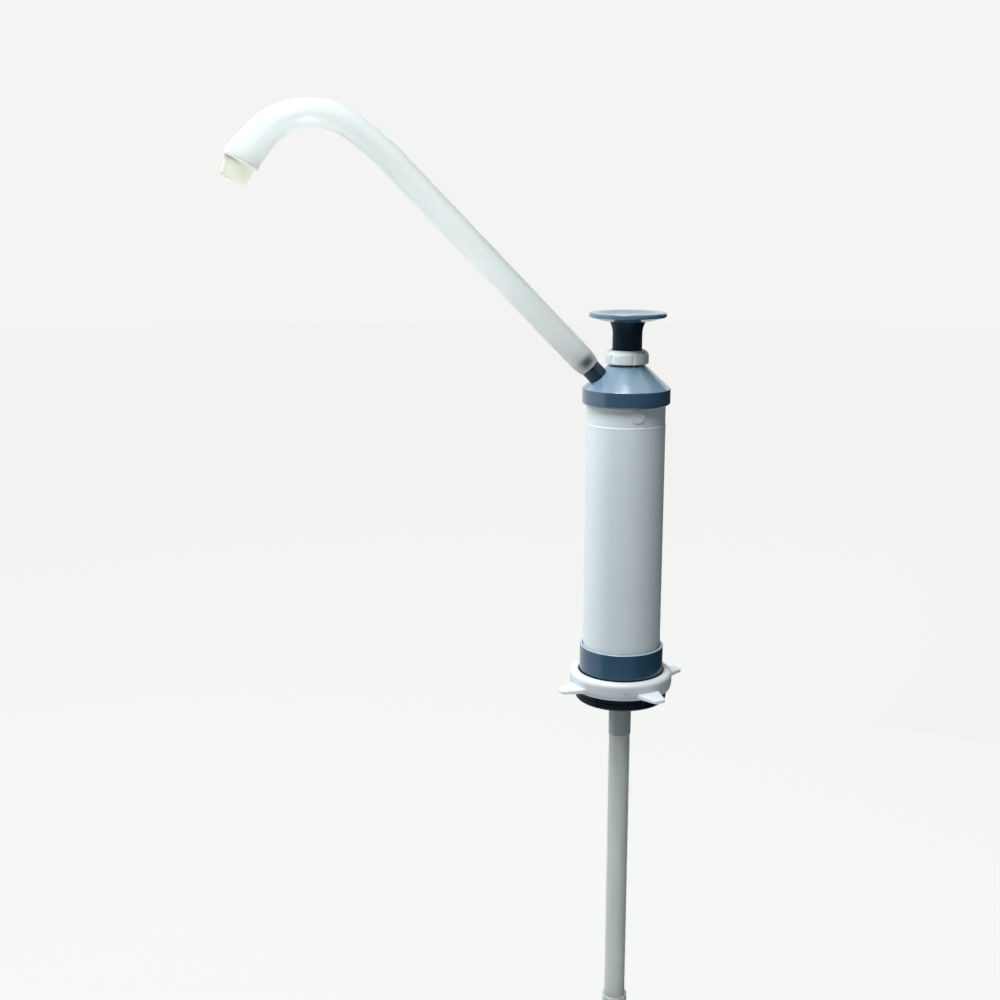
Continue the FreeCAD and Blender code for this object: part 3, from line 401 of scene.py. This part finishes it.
# %% The moulded finishes
ABS_IOR = 1.53
POLYPROPYLENE_IOR = 1.49
DENSE_POLYETHYLENE_IOR = 1.54
SOFT_POLYETHYLENE_IOR = 1.51

# ABS, moulded and satin: a cool slate blue, with painted light from above making it paler on all
# but its lowest faces.
knob_abs = moulded("slate_blue_abs", "42607A", "3D5A73", roughness=0.27, ior=ABS_IOR,
                   polish=0.5, painted_top_light="677E90", painted_light_from=-0.6)
# Much the same, with more polish, on the cap: painted light from above makes only the shoulder,
# which faces up, paler.
slate_abs = moulded("slate_abs_painted_top_light", "3E5C76", "3A576F", roughness=0.25, ior=ABS_IOR,
                    polish=0.8, painted_top_light="758EA0")
# The same ABS, darker and more teal, on the collar at the foot of the barrel, with painted light
# from above making its upward faces paler.
dark_slate_abs = moulded("dark_slate_abs", "29526C", "274E68", roughness=0.28, ior=ABS_IOR,
                         polish=0.35, painted_top_light="9BADB9")
# ABS, moulded and satin: a deep blue, nearly navy, on the outlet nozzle.
deep_abs = moulded("deep_blue_abs", "1C3547", "193041", roughness=0.3, ior=ABS_IOR, sheen=0.3)
# ABS, moulded and satin: a pale grey, nearly white, on the nut.
grey_abs = moulded("pale_grey_abs", "EDF2F0", "E7EDEB", roughness=0.36, ior=ABS_IOR)
# Polypropylene, moulded: a very dark navy with a soft waxy gloss.
navy_pp = moulded("navy_polypropylene", "0B2230", "091E2B", roughness=0.42,
                  ior=POLYPROPYLENE_IOR, sheen=0.15)
# High-density polyethylene, moulded: white with a waxy, softer surface.
white_hdpe = moulded("white_hdpe", "DFE5E7", "D9E0E2", roughness=0.5,
                     ior=DENSE_POLYETHYLENE_IOR, sheen=0.3, soft_mm=9.0)
# Polypropylene, moulded without pigment and yellowed to ivory.
ivory_pp = moulded("ivory_polypropylene", "D0D0C2", "C9C9BA", roughness=0.4,
                   ior=POLYPROPYLENE_IOR, soft_mm=3.0)
# Polyethylene, moulded without pigment: grey and a little cloudy.
natural_pe = moulded("natural_polyethylene", "B9C4C4", "AFBBBB", roughness=0.45,
                     ior=SOFT_POLYETHYLENE_IOR)

# %% [markdown]
# The barrel is a drawn pipe. Drawing leaves faint lines along the pipe, so the
# noise is stretched along it. The real lines are finer than a picture shows,
# and are drawn about a millimetre apart. They could be cut into the mesh, but
# they are a few thousandths of a millimetre deep, so a bump is enough.

# %% Drawn pipe for the barrel
PIPE_IOR = 1.53
PIPE_LINE = 1.2 * MM
PIPE_LINE_DEPTH = 0.004 * MM
PIPE_LINE_SHARE = 0.3
PIPE_STRETCH = 0.012
PIPE_DRIFT = 45 * MM

made, tree, shader, where = finish("drawn_pvc_pipe")
stretched = add_node(tree, "ShaderNodeMapping", inputs={
    "Vector": where, "Scale": (1.0, 1.0, PIPE_STRETCH)})
lines = add_node(tree, "ShaderNodeTexNoise", inputs={
    "Vector": stretched.outputs[0], "Scale": 1 / PIPE_LINE, "Detail": 2.0, "Roughness": 0.55})
drift = add_node(tree, "ShaderNodeTexNoise", inputs={
    "Vector": where, "Scale": 1 / PIPE_DRIFT, "Detail": 2.0, "Roughness": 0.5})
both = add_node(tree, "ShaderNodeMath", {"operation": "MULTIPLY_ADD"}, {
    0: lines.outputs["Fac"], 1: PIPE_LINE_SHARE, 2: drift.outputs["Fac"]})
tone = add_node(tree, "ShaderNodeMix", {"data_type": "RGBA"}, {
    SHARE: both.outputs[0], FIRST: linear("E4EDF0"), SECOND: linear("ECF4F7")})
bump = add_node(tree, "ShaderNodeBump", inputs={
    "Height": lines.outputs["Fac"], "Distance": PIPE_LINE_DEPTH, "Strength": 1.0})
feed(shader, {
    "Base Color": tone.outputs[MIXED],
    "Normal": bump.outputs[0],
    "Roughness": 0.34,
    "IOR": PIPE_IOR,
})
barrel_pvc = made
print("finish", made.name)

# %% [markdown]
# The spout and the dip tube are low-density polyethylene: milky, waxy and a
# little see-through. Light goes in, scatters and comes out again, so the
# shaded side is never really dark. A scatter of a few millimetres gives that.
#
# At the spout's foot the dark nozzle stands inside the tube, and shows through
# its wall as a grey shape that fades where the nozzle ends. The nozzle's line
# is known, so the distance along it and the distance off to its side place the
# shape: it comes in between the two STARTS, goes again between the two ENDS,
# and thins between the two SIDES. The wall could be made clear enough to show
# the real nozzle, but it would lose its milk, so the shape is in the colour.

# %% Milky tube
NOZZLE_ROOT = Vector((0.0, 0.0, 182.95)) * MM
NOZZLE_TILT = math.radians(44.6)
NOZZLE_HEADING = Vector((-math.sin(NOZZLE_TILT), 0.0, math.cos(NOZZLE_TILT)))
NOZZLE_ACROSS = Vector((math.cos(NOZZLE_TILT), 0.0, math.sin(NOZZLE_TILT)))
STARTS = (37.5 * MM, 41.0 * MM)
ENDS = (43.0 * MM, 47.5 * MM)
SIDES = (1.5 * MM, 6.5 * MM)
SHADE_AT_SIDES = 0.25
SHADE_MOST = 0.85
CLOUD = 14 * MM
RIPPLE = 6 * MM
RIPPLE_DEPTH = 0.03 * MM
SCATTER = 7.0 * MM

made, tree, shader, where = finish("milky_polyethylene")


def off_nozzle(heading):
    """How far a point lies from the nozzle's root along a heading."""
    reach = add_node(tree, "ShaderNodeVectorMath", {"operation": "DOT_PRODUCT"}, {
        0: where, 1: heading})
    return add_node(tree, "ShaderNodeMath", {"operation": "SUBTRACT"}, {
        0: reach.outputs["Value"], 1: NOZZLE_ROOT.dot(heading)})


def soft_step(value, limits, before, after):
    """A smooth change from one share to another between two distances."""
    return add_node(tree, "ShaderNodeMapRange", {"interpolation_type": "SMOOTHSTEP"}, {
        "Value": value.outputs[0], "From Min": limits[0], "From Max": limits[1],
        "To Min": before, "To Max": after})


from_root = off_nozzle(NOZZLE_HEADING)
off_line = add_node(tree, "ShaderNodeMath", {"operation": "ABSOLUTE"}, {
    0: off_nozzle(NOZZLE_ACROSS).outputs[0]})
shade = soft_step(from_root, STARTS, 0.0, 1.0)
goes = soft_step(from_root, ENDS, 1.0, 0.0)
thins = soft_step(off_line, SIDES, 1.0, SHADE_AT_SIDES)
for other in (goes.outputs[0], thins.outputs[0], SHADE_MOST):
    shade = add_node(tree, "ShaderNodeMath", {"operation": "MULTIPLY"}, {
        0: shade.outputs[0], 1: other})

cloud = add_node(tree, "ShaderNodeTexNoise", inputs={
    "Vector": where, "Scale": 1 / CLOUD, "Detail": 3.0, "Roughness": 0.5})
milk = add_node(tree, "ShaderNodeMix", {"data_type": "RGBA"}, {
    SHARE: cloud.outputs["Fac"], FIRST: linear("F3FBF8"), SECOND: linear("F8FEFB")})
tone = add_node(tree, "ShaderNodeMix", {"data_type": "RGBA"}, {
    SHARE: shade.outputs[0], FIRST: milk.outputs[MIXED], SECOND: linear("4A6265")})
ripple = add_node(tree, "ShaderNodeTexNoise", inputs={
    "Vector": where, "Scale": 1 / RIPPLE, "Detail": 1.0, "Roughness": 0.5})
bump = add_node(tree, "ShaderNodeBump", inputs={
    "Height": ripple.outputs["Fac"], "Distance": RIPPLE_DEPTH, "Strength": 1.0})
feed(shader, {
    "Base Color": tone.outputs[MIXED],
    "Normal": bump.outputs[0],
    "Roughness": 0.32,
    "IOR": SOFT_POLYETHYLENE_IOR,
    "Transmission Weight": 0.5,
    "Subsurface Weight": 0.6,
    "Subsurface Radius": (0.95, 1.0, 0.97),
    "Subsurface Scale": SCATTER,
})
milky_pe = made
print("finish", made.name)

# %% [markdown]
# Seals are black EPDM rubber, matt with a dusty bloom in blotches. Two tones of
# noise give the dust, and rubber this matt needs no bump.

# %% Rubber
RUBBER_IOR = 1.52
DUST = 2.5 * MM

made, tree, shader, where = finish("black_epdm_rubber")
dust = add_node(tree, "ShaderNodeTexNoise", inputs={
    "Vector": where, "Scale": 1 / DUST, "Detail": 4.0, "Roughness": 0.6})
tone = add_node(tree, "ShaderNodeMix", {"data_type": "RGBA"}, {
    SHARE: dust.outputs["Fac"], FIRST: linear("17191A"), SECOND: linear("2B2E2F")})
feed(shader, {"Base Color": tone.outputs[MIXED], "Roughness": 0.72, "IOR": RUBBER_IOR})
epdm_rubber = made
print("finish", made.name)

# %% [markdown]
# The spring and the screw are drawn stainless steel. The marks of drawing are
# too fine to show, so an even grain a third of a millimetre wide breaks up the
# gloss. A metal's colour is the colour of its reflection, so no refraction is
# set.

# %% Steel
GRIT = 0.3 * MM
GRIT_DEPTH = 0.003 * MM
STEEL_SMOOTHEST, STEEL_ROUGHEST = 0.24, 0.36

made, tree, shader, where = finish("drawn_stainless_steel")
grit = add_node(tree, "ShaderNodeTexNoise", inputs={
    "Vector": where, "Scale": 1 / GRIT, "Detail": 2.0, "Roughness": 0.6})
gloss = add_node(tree, "ShaderNodeMapRange", inputs={
    "Value": grit.outputs["Fac"], "From Min": NOISE_LOW, "From Max": NOISE_HIGH,
    "To Min": STEEL_SMOOTHEST, "To Max": STEEL_ROUGHEST})
bump = add_node(tree, "ShaderNodeBump", inputs={
    "Height": grit.outputs["Fac"], "Distance": GRIT_DEPTH, "Strength": 1.0})
feed(shader, {
    "Base Color": linear("C9C7C2"),
    "Metallic": 1.0,
    "Roughness": gloss.outputs[0],
    "Normal": bump.outputs[0],
})
stainless_steel = made
print("finish", made.name)

# %% [markdown]
# ## Dressing the frame
# Each piece of the frame gets its finish. The frame's own pieces keep their
# meshes and their shading, so all that is done is to hang a material on each.

# %% Dress the frame
FINISHES = {
    slate_abs: ["top_cap"],
    knob_abs: ["knob"],
    dark_slate_abs: ["base_collar"],
    grey_abs: ["gland_nut"],
    navy_pp: ["stem", "neck_collet"],
    deep_abs: ["outlet_nozzle"],
    barrel_pvc: ["barrel"],
    white_hdpe: [
        "locking_ring", "stem_stop_ring", "piston", "valve_stop_ring", "piston_retainer",
        "spring_seat", "foot_valve_seat", "foot_valve_cage",
    ],
    ivory_pp: ["tip_cap"],
    natural_pe: ["inlet_nipple", "strainer_foot"],
    milky_pe: ["spout", "dip_tube_upper", "tube_coupler", "dip_tube_lower"],
    epdm_rubber: [
        "gland_seal", "cap_gasket", "nozzle_o_ring", "piston_cup_seal", "piston_valve",
        "foot_valve_disc", "barrel_gasket", "neck_gasket",
    ],
    stainless_steel: ["piston_screw", "return_spring"],
}

for material, names in FINISHES.items():
    for name in names:
        piece = nodes[name]
        piece.data.materials.clear()
        piece.data.materials.append(material)
print("dressed", sum(len(names) for names in FINISHES.values()), "of", len(nodes))

# %% [markdown]
# ## Small things
# A few marks are too small for the frame. Where the barrel was turned down for
# the cap it keeps a fine bead on the step, about a millimetre high, that
# catches the light as a bright line. A torus could be flattened and sunk in the
# wall, but half an oval turned by a spin has less of it hidden. The back of its
# lower half lies in the wall.

# %% Barrel bead
def keep(piece_mesh, name, body, material):
    """Makes an object of a finished bmesh, with its finish and the body it rides on."""
    mesh = bpy.data.meshes.new(name)
    bmesh.ops.recalc_face_normals(piece_mesh, faces=piece_mesh.faces)
    piece_mesh.to_mesh(mesh)
    piece_mesh.free()
    for face in mesh.polygons:
        face.use_smooth = True
    mesh.materials.append(material)
    piece = bpy.data.objects.new(name, mesh)
    bpy.context.scene.collection.objects.link(piece)
    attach(piece, body)
    print(name, len(mesh.polygons), "faces on", body)
    return piece


BEAD_LEVEL = 171.0 * MM
BEAD_BACK = 25.9 * MM
BEAD_DEPTH = 0.2 * MM
BEAD_HALF = 0.7 * MM
BEAD_STEPS = 6
BEAD_SIDES = 128
MERGE = 0.001 * MM

bead = bmesh.new()
profile = []
for step in range(BEAD_STEPS + 1):
    turn = math.pi * step / BEAD_STEPS - math.pi / 2
    profile.append(bead.verts.new((
        BEAD_BACK + BEAD_DEPTH * math.cos(turn), 0, BEAD_LEVEL + BEAD_HALF * math.sin(turn))))
profile_edges = [bead.edges.new(pair) for pair in zip(profile, profile[1:] + profile[:1])]
bmesh.ops.spin(bead, geom=[*profile, *profile_edges], cent=(0, 0, 0), axis=(0, 0, 1),
               angle=math.tau, steps=BEAD_SIDES, use_merge=True)
bmesh.ops.remove_doubles(bead, verts=bead.verts, dist=MERGE)
keep(bead, "barrel_bead", "pump_body", barrel_pvc)

# %% [markdown]
# Every moulding was fed through a gate, and the place where it broke off stays
# as a small scar: a flat boss with a pit in it. The two that show are the
# locking ring's, on its front, and the knob's, on top. They could be bumps in a
# finish, but a small mesh is easier to place, and one function makes both. A
# disc is extruded, its rim is bevelled, and its top is inset and pushed in. The
# scar is then turned to face the way its wall faces.

# %% Gate scars
SCAR_SIDES = 28
SCAR_PROUD = 0.12 * MM
SCAR_ROUNDING = 0.5  # of how proud the scar is
SCAR_ROUNDING_STEPS = 3
PIT_MARGIN = 0.16  # of the scar's height
PIT_DEPTH = 0.7  # of how proud the scar is


def gate_scar(name, place, outward, width, height, body, material):
    """A gate's scar on a wall at place that faces outward, sunk a little into that wall."""
    scar = bmesh.new()
    disc = bmesh.ops.create_circle(scar, cap_ends=True, segments=SCAR_SIDES, radius=0.5)
    bmesh.ops.scale(scar, vec=(width, height, 1.0), verts=disc["verts"])
    foot = scar.faces[:]
    raised = bmesh.ops.extrude_face_region(scar, geom=foot, use_keep_orig=True)["geom"]
    top_corners = [part for part in raised if isinstance(part, bmesh.types.BMVert)]
    top = [part for part in raised if isinstance(part, bmesh.types.BMFace)]
    bmesh.ops.translate(scar, vec=(0, 0, SCAR_PROUD * 2), verts=top_corners)
    bmesh.ops.translate(scar, vec=(0, 0, -SCAR_PROUD), verts=scar.verts)
    bmesh.ops.bevel(scar, geom=list(top[0].edges), offset=SCAR_PROUD * SCAR_ROUNDING,
                    affect="EDGES", segments=SCAR_ROUNDING_STEPS, profile=0.5, material=-1)
    top = max(scar.faces, key=lambda face: (face.calc_center_median().z, face.calc_area()))
    bmesh.ops.inset_region(scar, faces=[top], thickness=height * PIT_MARGIN, depth=0)
    bmesh.ops.translate(scar, vec=(0, 0, -SCAR_PROUD * PIT_DEPTH), verts=top.verts)
    turn = outward.to_track_quat("Z", "Y").to_matrix().to_4x4()
    bmesh.ops.transform(scar, matrix=Matrix.Translation(place) @ turn, verts=scar.verts)
    return keep(scar, name, body, material)


RING_WALL = 34.5 * MM
RING_SCAR_LEVEL = -4.0 * MM
RING_SCAR_TURN = math.radians(-103.1)
RING_SCAR_WIDTH, RING_SCAR_HEIGHT = 2.6 * MM, 0.9 * MM
KNOB_SCAR_WIDTH = 2.4 * MM
KNOB_DISH = 1.5 * MM

ring_out = Vector((math.cos(RING_SCAR_TURN), math.sin(RING_SCAR_TURN), 0))
gate_scar("ring_gate_scar", ring_out * RING_WALL + UP * RING_SCAR_LEVEL, ring_out,
          RING_SCAR_WIDTH, RING_SCAR_HEIGHT, "locking_ring", natural_pe)
gate_scar("knob_gate_scar", UP * (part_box("knob")[1].z - KNOB_DISH), UP,
          KNOB_SCAR_WIDTH, KNOB_SCAR_WIDTH, "plunger", knob_abs)

# %% [markdown]
# ## The spring
# The return spring is a long coil of steel wire under the piston. It has to
# shorten when the knob is pressed. Here it is built as a mesh of its own, and
# the frame's spring is hidden. A curve with a round bevel would look the same,
# and a spin whose steps also rise sweeps the wire's round section into a mesh.

# %% Return spring
COIL_RADIUS = 17.6 * MM
WIRE_RADIUS = 1.0 * MM
WIRE_SIDES = 14
COIL_TURNS = 14
STEPS_PER_TURN = 48
coil_low, coil_high = (corner.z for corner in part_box("return_spring"))
coil_steps = COIL_TURNS * STEPS_PER_TURN
coil_rise = coil_high - coil_low - 2 * WIRE_RADIUS

coil = bmesh.new()
section = bmesh.ops.create_circle(coil, cap_ends=False, segments=WIRE_SIDES, radius=WIRE_RADIUS)
upended = Matrix.Rotation(math.pi / 2, 4, "X")
start = Matrix.Translation((COIL_RADIUS, 0, coil_low + WIRE_RADIUS))
bmesh.ops.transform(coil, matrix=start @ upended, verts=section["verts"])
bmesh.ops.spin(coil, geom=coil.verts[:] + coil.edges[:], cent=(0, 0, 0), axis=(0, 0, 1),
               dvec=(0, 0, coil_rise / coil_steps), angle=math.tau * COIL_TURNS, steps=coil_steps)
bmesh.ops.holes_fill(coil, edges=[edge for edge in coil.edges if edge.is_boundary])
spring = keep(coil, "return_spring_coil", "pump_body", stainless_steel)
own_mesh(spring)
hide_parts("return_spring")
